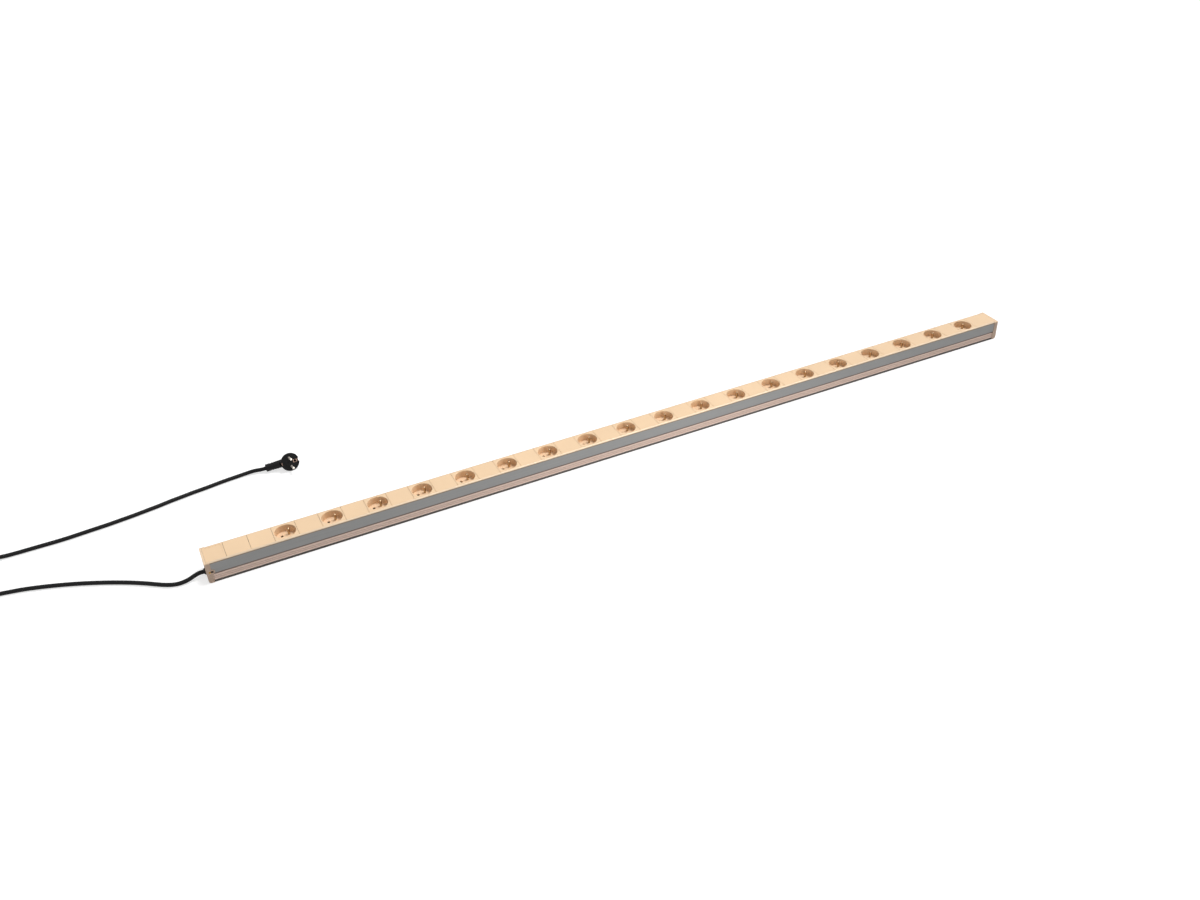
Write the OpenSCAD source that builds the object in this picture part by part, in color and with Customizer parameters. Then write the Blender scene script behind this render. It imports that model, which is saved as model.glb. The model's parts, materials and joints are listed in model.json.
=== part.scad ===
// Long socket strip: an aluminium profile filled with a row of round recessed sockets and
// blank inserts, closed by moulded end caps, with a mains lead and an angled plug.
// Millimetres. Origin at the middle of the underside, +X along the row away from the lead.

/* [Row] */
// Number of sockets
socket_count = 19; // [2:1:19]
// Blank inserts between the entry plate and the first socket
lead_blanks = 2; // [2:1:4]
// Pitch of the inserts along the strip
module_l = 44.45; // [44:0.05:60]
// Gap between neighbouring inserts
insert_gap = 0.6; // [0.2:0.1:0.8]
// Length taken by the plate over the cord entry
entry_l = 41.5; // [40:0.5:80]
// Length taken by the plate at the far end
tail_l = 61.5; // [36:0.5:120]

/* [Profile] */
// Width of the aluminium profile
profile_w = 51; // [50.5:0.5:70]
// Height of the strip
strip_h = 45.5; // [44:0.5:60]
// Thickness of the profile's walls
wall_t = 1.6; // [1.2:0.1:1.8]
// Thickness of the profile's base, which is also the lip under the clip groove
base_t = 1; // [1:0.1:1.8]
// Height of the clip groove along the foot
groove_h = 4.2; // [4.2:0.1:6]
// Depth of the clip groove
groove_depth = 3; // [2:0.1:3.8]
// Flat land between the groove and the first rib
rib_land = 0.2; // [0.2:0.1:1]
// Number of ribs on each side
rib_count = 3; // [2:1:3]
// Pitch of the ribs
rib_pitch = 4; // [3:0.1:4.4]
// Depth of the ribs
rib_depth = 1.1; // [0.6:0.1:1.2]
// Height of the shadow groove above the top rib
rib_relief = 2.6; // [1:0.1:3]
// Width of the rim beside the inserts
rim_w = 3; // [2.7:0.1:3]
// Radius of the rim's outer edge
rim_r = 2.6; // [1.8:0.1:2.6]
// Width of the ledge that carries the inserts
ledge_w = 1; // [0.8:0.1:1]
// Thickness of the ledge
ledge_t = 1.6; // [1.2:0.1:2]
// Outer radius of the screw ports inside the foot
port_r = 2.4; // [2.2:0.1:2.5]
// Bore of the screw ports
port_d = 2.9; // [2.4:0.1:3.2]

/* [Inserts] */
// Thickness of the insert plates
plate_t = 2.5; // [2:0.1:3.5]
// Corner radius of the insert plates
plate_r = 0.6; // [0.3:0.1:3]
// Side clearance of the plates in the profile
plate_fit = 0.2; // [0.1:0.05:0.4]
// Diameter of the socket well
well_d = 39.6; // [38:0.1:40]
// Depth of the socket well
well_depth = 15; // [14.5:0.5:17]
// Wall of the socket well
well_wall = 1.4; // [1:0.1:1.6]
// Thickness of the well's floor
floor_t = 2; // [1.5:0.1:3]
// Chamfer round the mouth of the well
rim_chamfer = 0.8; // [0.3:0.1:1]
// Angle of the sockets about the vertical
socket_turn = 45; // [42:1:48]
// Diameter of the plug pin holes
hole_d = 5.4; // [5:0.1:5.8]
// Distance of each pin hole from the middle of the well
hole_offset = 9.5; // [9.3:0.1:9.7]
// Countersink round each pin hole
hole_sink = 0.7; // [0.3:0.1:1]
// Distance of the earth pin from the middle of the well
earth_offset = 10; // [9.8:0.1:10.4]
// Diameter of the earth pin
earth_pin_d = 4.8; // [4.6:0.1:5]
// How far the earth pin's tip lies below the top face
earth_pin_drop = 1; // [0.5:0.1:4]
// Length of the snap legs below the plate
leg_l = 4.4; // [4:0.1:6]
// Width of the snap legs
leg_w = 5; // [3:0.5:7]
// Thickness of the snap legs
leg_t = 1.2; // [0.8:0.1:1.4]
// Reach of the barb on a snap leg
leg_barb = 0.8; // [0.4:0.1:1]
// Depth of the bare label field in the entry plate
label_depth = 0.4; // [0.2:0.1:0.8]
// Margin round the label field
label_margin = 3; // [2:0.5:8]
// Corner radius of the label field at its inner end
entry_r = 5; // [2:0.5:8]

/* [Shutters] */
// Height of the shutter chamber under the well
chamber_h = 3.9; // [3.6:0.1:4.4]
// Sliding clearance above and below a shutter
slide_gap = 0.3; // [0.2:0.05:0.4]
// Length of a shutter across both pin holes
shutter_l = 26; // [25.5:0.1:26.5]
// Overlap of a shutter past the edge of a pin hole
shutter_lap = 0.7; // [0.4:0.1:1]
// Travel of a shutter from closed to open
shutter_travel = 6.4; // [6.4:0.1:7]
// Length of the tongue that the spring pushes on
tongue_l = 3; // [2:0.1:4]
// Length of a shutter spring pressed flat
spring_flat = 3.4; // [3:0.1:3.6]
// Outer diameter of a shutter spring
spring_d = 3; // [2.4:0.1:3.2]
// Wire of a shutter spring
spring_wire = 0.5; // [0.3:0.1:0.6]

/* [Conductors] */
// Side of a contact carrier
carrier_w = 41; // [41:0.5:42]
// Thickness of the insulating liner
liner_t = 0.8; // [0.5:0.1:1.2]
// Width of the line and neutral bars
bar_w = 7; // [6:0.1:7.4]
// Thickness of the bars
bar_t = 1; // [0.8:0.1:1.4]
// Thickness of a contact leaf
leaf_t = 0.8; // [0.5:0.1:1]
// Length of a contact leaf along the bar
leaf_l = 6.4; // [5:0.1:7]
// Gap between the two leaves of a contact
leaf_gap = 4.4; // [4:0.1:4.6]
// Width of the earth bar
earth_bar_w = 6; // [5:0.1:6.4]
// Thickness of a lead's insulation, outside diameter
wire_d = 3; // [2.4:0.1:3.4]

/* [End caps] */
// Thickness of the end wall
cap_wall = 3.7; // [3.4:0.1:4.2]
// Thickness of the cheeks that lie on the profile
cheek_t = 0.8; // [0.6:0.1:1.2]
// Length of the cheeks beside the smooth band
cheek_l = 9.5; // [8:0.5:12]
// Length of the cheeks beside the ribs
cheek_low_l = 10.5; // [9:0.5:18]
// Radius of the lower edge of the end wall
cap_r = 5.5; // [3:0.1:5.8]
// Length of a cap's floor, for which the profile's base stops short
cap_floor_l = 6.5; // [6:0.1:10]
// Length of the tongues that locate a cap in the profile
cap_tongue_l = 8; // [5:0.5:10]
// Gap between the profile's end and the end wall
end_gap = 0.3; // [0.2:0.1:0.5]
// Height of the slot in the lead's end cap
slot_h = 4; // [3.6:0.1:4.4]
// Length of that slot
slot_l = 9; // [8.5:0.5:10]
// Height of the cord's exit above the underside
exit_z = 10.5; // [10.5:0.1:12]

/* [Cord] */
// Diameter of the cord
cord_d = 8; // [7:0.1:8.4]
// Outer radius of the coil, to the middle of the cord
coil_r = 54; // [52:1:58]
// Turns in each of the coil's two layers
coil_turns = 1.5; // [0.5:1:1.5]
// Step between turns and between layers
coil_pitch = 9.6; // [9.6:0.1:10]

/* [Plug] */
// Radius of the plug's face
plug_r = 19; // [18.5:0.1:19]
// Depth of the plug's body behind its face
plug_depth = 24; // [22:0.5:25]
// Length of the plug's neck from the axis of the pins
neck_l = 48; // [44:1:50]
// Radius of the neck where it leaves the body
neck_root_r = 9; // [8:0.1:9.6]
// Radius of the neck at its collar
neck_r = 7.2; // [6.5:0.1:7.6]
// Radius of the collar at the end of the neck
collar_r = 7.8; // [7:0.1:8]
// Length of the collar
collar_l = 9; // [6:0.5:12]
// Length of the plug's pins
pin_l = 19; // [18.5:0.1:19.5]
// Diameter of the plug's pins
pin_d = 4.8; // [4.6:0.1:5]
// Distance between the plug's pins
pin_pitch = 19; // [18.8:0.1:19.2]

/* [Hidden] */
$fn = 64;
// How far a cut runs past the face that it opens
over = 1;
// Running clearance round pins, screws and bars
fit = 0.05;
bar_room = 0.4;

// The row
strip_l = entry_l + (lead_blanks + 2 * socket_count - 1) * module_l + tail_l;
left_x = -strip_l / 2;
insert_l = module_l - insert_gap;
function module_x(i) = left_x + entry_l + (i + 0.5) * module_l;
function socket_x(k) = module_x(lead_blanks + 2 * k);
blank_at = concat([for (i = [0 : lead_blanks - 1]) i],
    [for (k = [0 : socket_count - 2]) lead_blanks + 2 * k + 1]);

// Heights and half widths inside the profile
half_w = profile_w / 2;
inner_half = half_w - wall_t;
ledge_z = strip_h - plate_t;
rim_half = half_w - rim_w;
ledge_half = rim_half - ledge_w;
plate_w = 2 * (rim_half - plate_fit);
groove_top = base_t + groove_h;
rib_z = groove_top + rib_land;
rib_top = rib_z + rib_count * rib_pitch + rib_relief;
rib_half = half_w - rib_depth - wall_t;
shoulder_z = groove_top + wall_t;
foot_half = half_w - groove_depth;
shoulder_half = foot_half - wall_t;
// Rib section as shares of its pitch, going up: crest, long slope in, valley, short slope out
rib_crest = 0.32;
rib_valley = [0.6, 0.85];
// How far a screw port sinks into the foot and stays below its top
port_lap = 0.5;
port_drop = 0.2;
port_y = shoulder_half - port_r + port_lap;
port_z = shoulder_z - port_r - port_drop;
profile_l = strip_l - 2 * (cap_wall + end_gap);
base_l = strip_l - 2 * (cap_floor_l + end_gap);

// The stack below a well
well_r = well_d / 2;
floor_under = strip_h - well_depth - floor_t;
carrier_top = floor_under - chamber_h;
liner_top = shoulder_z + liner_t;
bar_top = liner_top + bar_t;
// Contact leaves and the earth bar lie sunk in the carrier
leaf_sink = 3;
leaf_top = carrier_top - leaf_sink;
earth_bar_sink = 3.2;
earth_bar_z = carrier_top - earth_bar_sink;
line_xy = [-hole_offset * sin(socket_turn), hole_offset * cos(socket_turn)];
earth_xy = earth_offset * [cos(socket_turn), sin(socket_turn)];
earth_bar_side = 8.4;
earth_bar_y = earth_xy.y + earth_bar_side;
// Steps on the earth pin's radius: foot, collar, and the rim of its tab on the bar
earth_step = 0.4;
earth_shoulder = 1;
earth_rim = 1.1;
earth_foot_d = earth_pin_d - 2 * earth_step;
earth_collar_d = earth_pin_d + 2 * earth_shoulder;
earth_tab = earth_pin_d + 2 * earth_rim;
// Bars run this far past the first and the last socket, the liner a little more
bar_lead = 28;
bar_tail = 14;
// Directions of the three leads round the cord's axis, a third of a turn apart
lead_turn = [-30, 210, 90];
bar_x = socket_x(0) - bar_lead;
bar_end = socket_x(socket_count - 1) + bar_tail;
liner_past = 8;

// Shutter outline in its own turned frame, where +X points at the earth pin
shutter_front = hole_d / 2 + shutter_lap;
shutter_heel = 0.6;
shutter_back = -shutter_front - shutter_heel;
tongue_x = shutter_back - tongue_l;
tongue_w = 5;
spring_l = shutter_travel + spring_flat;
stop_x = tongue_x - spring_l - 2 * slide_gap;
stop_t = 1.5;
guide_y = shutter_l / 2 + bar_room;
guide_short = 3;
guide_x = [stop_x + guide_short, shutter_front + over];
shutter_z = carrier_top + slide_gap;
shutter_t = chamber_h - 2 * slide_gap;
ramp_side = 0.5;
ramp_w = hole_d + 2 * ramp_side;
ramp_back = -shutter_front / 2;
ramp_low = shutter_t / 3;

// Snap legs
leg_out = ledge_half - plate_fit;
barb_z = ledge_z - ledge_t - slide_gap;
leg_end = ledge_z - leg_l;
// Distance of the legs' middle from the ends of a plate
leg_inset = 7;

// End caps
slot_rise = 3.9;
slot_z = rib_top + slot_rise;
slot_x = 3.8;
screw_x = slot_x + slot_h / 2;
lobe_r = 5;
cap_w = profile_w + 2 * cheek_t;
screw_head_d = 5;
screw_sink = 1.6;
screw_in = 1.6;
screw_l = 14;
cross_w = 0.8;
drive_w = 0.6;
bond_d = 2.6;
bond_l = 8;
gland_out = 3;
gland_d = 11.8;
gland_flange_d = 15.6;
gland_flange_t = 3;
gland_taper = 2;
gland_lip = 0.8;
gland_in = 24;

// Cord, measured from the lead's end of the strip
floor_gap = 0.2;
cord_z = cord_d / 2 + floor_gap;
coil_at = [-412, 180];
coil_inner = coil_r - coil_turns * coil_pitch;
coil_side = 6;
coil_rings = 24;
cord_side = 10;
lead_points = [[-gland_out - cord_d, 0, exit_z], [-21, -1.4, 8.6], [-31, -3.4, 6.2], [-43, -4.6, 4.6],
    [-56, -3, cord_z], [-70, 3, cord_z], [-84, 12, cord_z], [-98, 22, cord_z], [-116, 34, cord_z],
    [-136, 46, cord_z], [-158, 58, cord_z], [-182, 70, cord_z], [-206, 81, cord_z], [-230, 91, cord_z],
    [-254, 100, cord_z], [-278, 108, cord_z], [-302, 115, cord_z], [-326, 120, cord_z],
    [-350, 124, cord_z], [-376, 126, cord_z]];
tail_points = [[-390, 234, 13.4], [-372, 234, 11], [-352, 234, 7.6], [-332, 234, 5], [-310, 234, cord_z],
    [-286, 234, cord_z], [-262, 234, cord_z], [-238, 234, cord_z], [-214, 235, cord_z],
    [-190, 237, cord_z], [-166, 239, cord_z], [-142, 241, cord_z], [-118, 244, cord_z],
    [-94, 247, cord_z], [-70, 251, cord_z], [-46, 255, cord_z], [-22, 260, cord_z], [2, 264, cord_z],
    [26, 268, cord_z], [50, 271, cord_z], [74, 275, cord_z], [96, 278, cord_z], [116, 280, cord_z],
    [132, 281, 4.8], [148, 280, 6.2]];

// Plug, leaning back on its tapered side
plug_at = [220, 256, 19];
plug_lean = 72;
plug_yaw = 5;
plug_rim = 2.5;
plug_back_r = 11.5;
plug_round = 3;
plug_edge = 0.8;
neck_drop = 10;
neck_slant = 18;
neck_yaw = 4;
// Rings round the neck, as shares of its length
neck_rings = [0.5, 0.6, 0.7];
ring_t = 2;
ring_rise = 0.3;
neck_free = neck_l - collar_l;
function neck_at(s) = neck_root_r + (neck_r - neck_root_r) * s / neck_free;
pin_root = 8;
plug_earth_d = 5.4;
clip_w = 6;
clip_t = 0.8;
clip_l = 13;
clip_recess = 3;
clip_gap = 0.5;
earth_plate_rim = 1.4;
earth_plate_l = plug_earth_d + 2 * earth_plate_rim;
function turn_x(p, a) = [p.x, p.y * cos(a) - p.z * sin(a), p.y * sin(a) + p.z * cos(a)];
function turn_z(p, a) = [p.x * cos(a) - p.y * sin(a), p.x * sin(a) + p.y * cos(a), p.z];
function plug_point(p) = plug_at + turn_z(turn_x(p, plug_lean), plug_yaw);
neck_way = turn_z([-cos(neck_slant), 0, -sin(neck_slant)], neck_yaw);
function neck_point(s) = plug_point([0, 0, -neck_drop] + s * neck_way);

// The coil spirals in on the floor, climbs half a turn and spirals out on top
function coil_reach(s) = s < coil_turns ? coil_r - coil_pitch * s
    : s < coil_turns + 0.5 ? coil_inner
    : coil_inner + coil_pitch * (s - coil_turns - 0.5);
function coil_rise(s) = coil_pitch * min(max((s - coil_turns) / 0.5, 0), 1);
function coil_point(s) = [coil_at.x - coil_reach(s) * sin(360 * s),
    coil_at.y - coil_reach(s) * cos(360 * s), cord_z + coil_rise(s)];
coil_all = 2 * coil_turns + 0.5;
coil_wind = [for (i = [0 : coil_all * coil_rings]) coil_point(i / coil_rings)];
coil_start = coil_wind[0] + [cord_d, 0, 0];
coil_end = coil_wind[len(coil_wind) - 1] + [cord_d, 0, 0];
coil_path = concat([coil_start], coil_wind, [coil_end]);
lead_path = concat([[-gland_out, 0, exit_z]], lead_points,
    [coil_start + [cord_d, 0, 0], coil_start]);
tail_path = concat([coil_end, coil_end + [cord_d, 0, 0]], tail_points,
    [neck_point(neck_l + cord_d), neck_point(neck_l)]);
function path_l(p, i = 0) = i > len(p) - 2 ? 0 : norm(p[i + 1] - p[i]) + path_l(p, i + 1);
half_turn = coil_rings / 2;
coil_gap = min([for (i = [0 : len(coil_wind) - 1])
    for (j = [i + half_turn : 1 : len(coil_wind) - 1]) norm(coil_wind[i] - coil_wind[j])]) - cord_d;
echo(str("least gap between the coil's turns ", coil_gap, " mm"));
echo(str("cord length ", path_l(lead_path) + path_l(coil_path) + path_l(tail_path), " mm"));

// A round tube along a path, as rings of points joined by triangles
function way(p, i) = p[min(i + 1, len(p) - 1)] - p[max(i - 1, 0)];
function unit(v) = v / norm(v);
function ring(p, i, r, n) = let (t = unit(way(p, i)), s = unit(cross(t, [0, 0, 1])), u = cross(s, t))
    [for (k = [0 : n - 1]) p[i] + r * (cos(360 * k / n) * s + sin(360 * k / n) * u)];
module tube(path, d, n) {
    last = (len(path) - 1) * n;
    points = [for (i = [0 : len(path) - 1]) each ring(path, i, d / 2, n)];
    sides = [for (i = [0 : len(path) - 2]) for (k = [0 : n - 1])
        let (a = i * n + k, b = i * n + (k + 1) % n)
            each [[a, b, a + n], [b, b + n, a + n]]];
    start = [for (k = [1 : n - 2]) [0, k + 1, k]];
    end = [for (k = [1 : n - 2]) [last, last + k, last + k + 1]];
    polyhedron(points, concat(sides, start, end));
}

function two_digits(k) = str(k < 9 ? "0" : "", k + 1);
function socket_name(k) = str("socket_", two_digits(k));
function shutter_name(k) = str("shutter_", two_digits(k));

// An outline in Y and Z drawn out along X
module along_x(l) {
    rotate([90, 0, 90])
        linear_extrude(l)
            children();
}

// A plate with round corners, with their own radius at the low and the high end of X
module rounded_plate(l, w, t, r_low, r_high) {
    linear_extrude(t)
        difference() {
            square([l, w], center = true);
            for (end = [[-1, r_low], [1, r_high]], side = [-1, 1])
                translate([end.x * l / 2, side * w / 2])
                    difference() {
                        square(2 * end.y, center = true);
                        translate([-end.x * end.y, -side * end.y])
                            circle(end.y);
                    }
        }
}

// Outline of one side wall: up the outside over the ribs, then down the inside past the ledge
wall_edge = concat([[foot_half + fit, groove_top], [half_w, groove_top]],
    [for (i = [0 : rib_count - 1])
        let (z = rib_z + i * rib_pitch, relief = i < rib_count - 1 ? 0 : rib_relief)
            each [[half_w, z + rib_crest * rib_pitch],
                [half_w - rib_depth, z + rib_valley[0] * rib_pitch],
                [half_w - rib_depth, z + rib_valley[1] * rib_pitch + relief],
                [half_w, z + rib_pitch + relief]]],
    [[half_w, strip_h], [rim_half, strip_h], [rim_half, ledge_z], [ledge_half, ledge_z],
        [ledge_half, ledge_z - ledge_t], [inner_half, ledge_z - ledge_t], [inner_half, rib_top + wall_t],
        [rib_half, rib_top], [rib_half, shoulder_z], [foot_half + fit, shoulder_z]]);

// Slot with round ends, along X, cut towards +Y
module slot_cut(l, h, depth) {
    rotate([-90, 0, 0]) {
        translate([h / 2, 0, 0])
            cylinder(d = h, h = depth);
        translate([l - h / 2, 0, 0])
            cylinder(d = h, h = depth);
        translate([h / 2, -h / 2, 0])
            cube([l - h, h, depth]);
    }
}

// What lies outside an arc round the middle of the rim's edge, out to a square of the given side
module rim_corner(r, side) {
    translate([half_w - rim_r, strip_h - rim_r])
        difference() {
            square(side);
            circle(r);
        }
}

// Section of the profile above its base: on each side a foot with a screw port, and the wall on it
module profile_section() {
    for (side = [0, 1])
        mirror([side, 0, 0]) {
            difference() {
                union() {
                    translate([shoulder_half, base_t + fit])
                        square([wall_t, shoulder_z - base_t - fit]);
                    translate([port_y, port_z])
                        circle(port_r);
                }
                translate([port_y, port_z])
                    circle(d = port_d);
            }
            difference() {
                polygon(wall_edge);
                rim_corner(rim_r, rim_r + over);
            }
        }
}

// Base, feet and walls, with hairline seams between them
module body_profile() {
    color("silver")
        difference() {
            union() {
                translate([-base_l / 2, -half_w, 0])
                    cube([base_l, profile_w, base_t]);
                translate([-profile_l / 2, 0, 0])
                    along_x(profile_l)
                        profile_section();
            }
            translate([left_x + slot_x + slot_h, -half_w - over, slot_z])
                slot_cut(slot_l - slot_h, slot_h, wall_t + 2 * over);
            translate([left_x + screw_x, -half_w - over, slot_z])
                rotate([-90, 0, 0])
                    cylinder(d = bond_d + 2 * fit, h = wall_t + 2 * over);
        }
}

// Cap at the lead's end of the strip, with the end face at x = 0; the other cap is its mirror
module end_cap(has_cord) {
    tongue_y = inner_half - slide_gap;
    tongue_z = slot_z + slot_h;
    difference() {
        union() {
            translate([0, -cap_w / 2, 0])
                cube([cap_wall, cap_w, strip_h]);
            translate([0, -cap_w / 2, 0])
                cube([cap_floor_l, cap_w, base_t]);
            for (side = [0, 1])
                mirror([0, side, 0]) {
                    translate([0, half_w, 0])
                        cube([cheek_l, cheek_t, strip_h]);
                    along_x(cheek_l)
                        rim_corner(rim_r + fit, rim_r);
                    translate([0, half_w, 0])
                        cube([cheek_low_l, cheek_t, rib_top]);
                    translate([cap_wall - fit, tongue_y - wall_t, tongue_z])
                        cube([cap_tongue_l, wall_t, leg_end - over - tongue_z]);
                }
            if (has_cord)
                translate([slot_x + slot_l - lobe_r / 2, -half_w, slot_z])
                    rotate([90, 0, 0])
                        cylinder(r = lobe_r, h = cheek_t);
        }
        translate([0, -cap_w / 2 - over, 0])
            difference() {
                translate([-over, 0, -over])
                    cube([cap_r + over, cap_w + 2 * over, cap_r + over]);
                translate([cap_r, -over, cap_r])
                    rotate([-90, 0, 0])
                        cylinder(r = cap_r, h = cap_w + 4 * over);
            }
        for (side = [0, 1])
            mirror([0, side, 0])
                translate([-over, 0, 0])
                    along_x(cheek_low_l + 2 * over)
                        rim_corner(rim_r + cheek_t, rim_r + cheek_t + over);
        for (side = [-1, 1])
            translate([0, side * port_y, port_z])
                rotate([0, 90, 0]) {
                    translate([0, 0, -over])
                        cylinder(d = port_d + 4 * fit, h = cap_wall + 2 * over);
                    translate([0, 0, -over])
                        cylinder(d = screw_head_d + 4 * fit, h = screw_in + over);
                    translate([0, 0, screw_in - fit])
                        cylinder(d1 = screw_head_d + 4 * fit, d2 = port_d + 4 * fit, h = screw_sink);
                }
        if (has_cord) {
            translate([-over, 0, exit_z])
                rotate([0, 90, 0])
                    cylinder(d = gland_d + 2 * fit, h = cap_wall + 2 * over);
            translate([slot_x, -half_w - cheek_t - over, slot_z])
                slot_cut(slot_l, slot_h, cheek_t + over);
        }
    }
}

module left_end_cap() {
    color("rosybrown")
        translate([left_x, 0, 0])
            end_cap(true);
}

module right_end_cap() {
    color("rosybrown")
        translate([-left_x, 0, 0])
            mirror([1, 0, 0])
                end_cap(false);
}

module end_cap_screws() {
    color("lightgray")
        for (end = [0, 1], side = [-1, 1])
            mirror([end, 0, 0])
                translate([left_x + screw_in, side * port_y, port_z])
                    rotate([0, 90, 0])
                        difference() {
                            union() {
                                cylinder(d1 = screw_head_d, d2 = port_d - 2 * fit, h = screw_sink);
                                cylinder(d = port_d - 2 * fit, h = screw_l);
                            }
                            for (turn = [0, 90])
                                rotate([0, 0, turn])
                                    translate([-screw_head_d / 4, -cross_w / 2, -over])
                                        cube([screw_head_d / 2, cross_w, over + screw_sink / 2]);
                        }
}

module bonding_screw() {
    color("goldenrod")
        translate([left_x + screw_x, -half_w, slot_z])
            rotate([90, 0, 0])
                difference() {
                    union() {
                        translate([0, 0, fit])
                            cylinder(d = slot_h - 4 * fit, h = cheek_t + fit);
                        translate([0, 0, -bond_l])
                            cylinder(d = bond_d, h = bond_l + 2 * fit);
                    }
                    translate([-slot_h, -drive_w / 2, cheek_t / 2])
                        cube([2 * slot_h, drive_w, cheek_t]);
                }
}

// Legs that snap under the ledge, two on each side of a plate
module snap_legs(spread) {
    for (side = [0, 1], end = [-1, 1])
        mirror([0, side, 0])
            translate([end * spread - leg_w / 2, 0, 0])
                along_x(leg_w)
                    polygon([[leg_out - leg_t, ledge_z + over], [leg_out, ledge_z + over],
                        [leg_out, barb_z], [leg_out + leg_barb, barb_z], [leg_out, leg_end],
                        [leg_out - leg_t, leg_end]]);
}

module blank_plate(l) {
    translate([0, 0, ledge_z])
        rounded_plate(l, plate_w, plate_t, plate_r, plate_r);
    snap_legs(l / 2 - leg_inset);
}

module entry_plate() {
    l = entry_l - cap_wall - insert_gap;
    color("bisque")
        translate([left_x + cap_wall + insert_gap / 2 + l / 2, 0, 0])
            difference() {
                blank_plate(l);
                translate([0, 0, strip_h - label_depth])
                    rounded_plate(l - 2 * label_margin, plate_w - 2 * label_margin,
                        label_depth + over, plate_r, entry_r);
            }
}

module blank_inserts() {
    tail = tail_l - cap_wall - insert_gap;
    color("bisque") {
        for (i = blank_at)
            translate([module_x(i), 0, 0])
                blank_plate(insert_l);
        translate([-left_x - cap_wall - insert_gap / 2 - tail / 2, 0, 0])
            blank_plate(tail);
    }
}

module socket_insert(k) {
    color("bisque")
        translate([socket_x(k), 0, 0])
            difference() {
                union() {
                    blank_plate(insert_l);
                    translate([0, 0, floor_under])
                        cylinder(r = well_r + well_wall, h = strip_h - floor_under - plate_t / 2);
                }
                translate([0, 0, floor_under + floor_t])
                    cylinder(r = well_r, h = well_depth + over);
                translate([0, 0, strip_h - rim_chamfer])
                    cylinder(r1 = well_r, r2 = well_r + rim_chamfer + over, h = rim_chamfer + over);
                rotate([0, 0, socket_turn]) {
                    for (side = [-1, 1])
                        translate([0, side * hole_offset, floor_under]) {
                            translate([0, 0, -over])
                                cylinder(d = hole_d, h = floor_t + 2 * over);
                            translate([0, 0, floor_t - hole_sink])
                                cylinder(d1 = hole_d, d2 = hole_d + 2 * (hole_sink + over),
                                    h = hole_sink + over);
                        }
                    translate([earth_offset, 0, floor_under - over])
                        cylinder(d = earth_pin_d + 2 * fit, h = floor_t + 2 * over);
                }
            }
}

module earth_pins() {
    color("gainsboro")
        for (k = [0 : socket_count - 1])
            translate([socket_x(k) + earth_xy.x, earth_xy.y, 0]) {
                translate([0, 0, earth_bar_z - bar_t / 2])
                    cylinder(d = earth_foot_d, h = chamber_h);
                translate([0, 0, earth_bar_z + bar_t + fit])
                    cylinder(d = earth_collar_d, h = floor_under - earth_bar_z - bar_t - 2 * fit);
                translate([0, 0, carrier_top])
                    cylinder(d = earth_pin_d, h = strip_h - carrier_top - earth_pin_drop - earth_pin_d / 2);
                translate([0, 0, strip_h - earth_pin_drop - earth_pin_d / 2])
                    sphere(d = earth_pin_d);
            }
}

// Plate that closes both pin holes of a socket, with a ramp under each hole
module shutter(k) {
    ramp = [[ramp_back, shutter_t + over], [shutter_front + over, shutter_t + over],
        [shutter_front + over, ramp_low], [shutter_front, ramp_low], [ramp_back, shutter_t]];
    color("dimgray")
        translate([socket_x(k), 0, shutter_z])
            rotate([0, 0, socket_turn])
                difference() {
                    union() {
                        translate([shutter_back, -shutter_l / 2, 0])
                            cube([shutter_front - shutter_back, shutter_l, shutter_t]);
                        translate([tongue_x, -tongue_w / 2, 0])
                            cube([tongue_l + over, tongue_w, shutter_t]);
                    }
                    for (side = [-1, 1])
                        translate([0, side * hole_offset + ramp_w / 2, 0])
                            rotate([90, 0, 0])
                                linear_extrude(ramp_w)
                                    polygon(ramp);
                }
}

// Block under each well that holds the contacts and guides the shutter
module contact_carriers() {
    h = carrier_top - liner_top;
    clip_room = [leaf_l + 2 * bar_room, bar_w + 2 * bar_room];
    color("dimgray")
        for (k = [0 : socket_count - 1])
            translate([socket_x(k), 0, 0]) {
                difference() {
                    translate([-carrier_w / 2, -carrier_w / 2, liner_top])
                        cube([carrier_w, carrier_w, h]);
                    for (side = [-1, 1]) {
                        translate([side * line_xy.x, side * line_xy.y, liner_top + h / 2])
                            cube([clip_room.x, clip_room.y, h + 2 * over], center = true);
                        translate([-carrier_w / 2 - over, side * line_xy.y - clip_room.y / 2,
                            liner_top - over])
                            cube([carrier_w + 2 * over, clip_room.y, bar_t + bar_room + over]);
                    }
                    translate([-carrier_w / 2 - over, earth_bar_y - earth_bar_w / 2 - bar_room, earth_bar_z])
                        cube([carrier_w + 2 * over, earth_bar_w + 2 * bar_room,
                            carrier_top - earth_bar_z + over]);
                    translate([earth_xy.x - earth_tab / 2 - bar_room, earth_xy.y - earth_tab / 2 - bar_room,
                        earth_bar_z])
                        cube([earth_tab + 2 * bar_room, earth_bar_y - earth_xy.y + earth_tab / 2,
                            carrier_top - earth_bar_z + over]);
                    translate([earth_xy.x, earth_xy.y, earth_bar_z - bar_t])
                        cylinder(d = earth_foot_d + bar_room, h = carrier_top - earth_bar_z);
                }
                translate([0, 0, carrier_top - fit])
                    rotate([0, 0, socket_turn]) {
                        for (side = [0, 1])
                            mirror([0, side, 0])
                                translate([guide_x[0], guide_y, 0])
                                    cube([guide_x[1] - guide_x[0], stop_t, chamber_h + fit]);
                        translate([stop_x - stop_t, -tongue_w / 2, 0])
                            cube([stop_t, tongue_w, chamber_h + fit]);
                        translate([shutter_front + slide_gap, -tongue_w / 2, 0])
                            cube([stop_t, tongue_w, chamber_h + fit]);
                    }
            }
}

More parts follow.
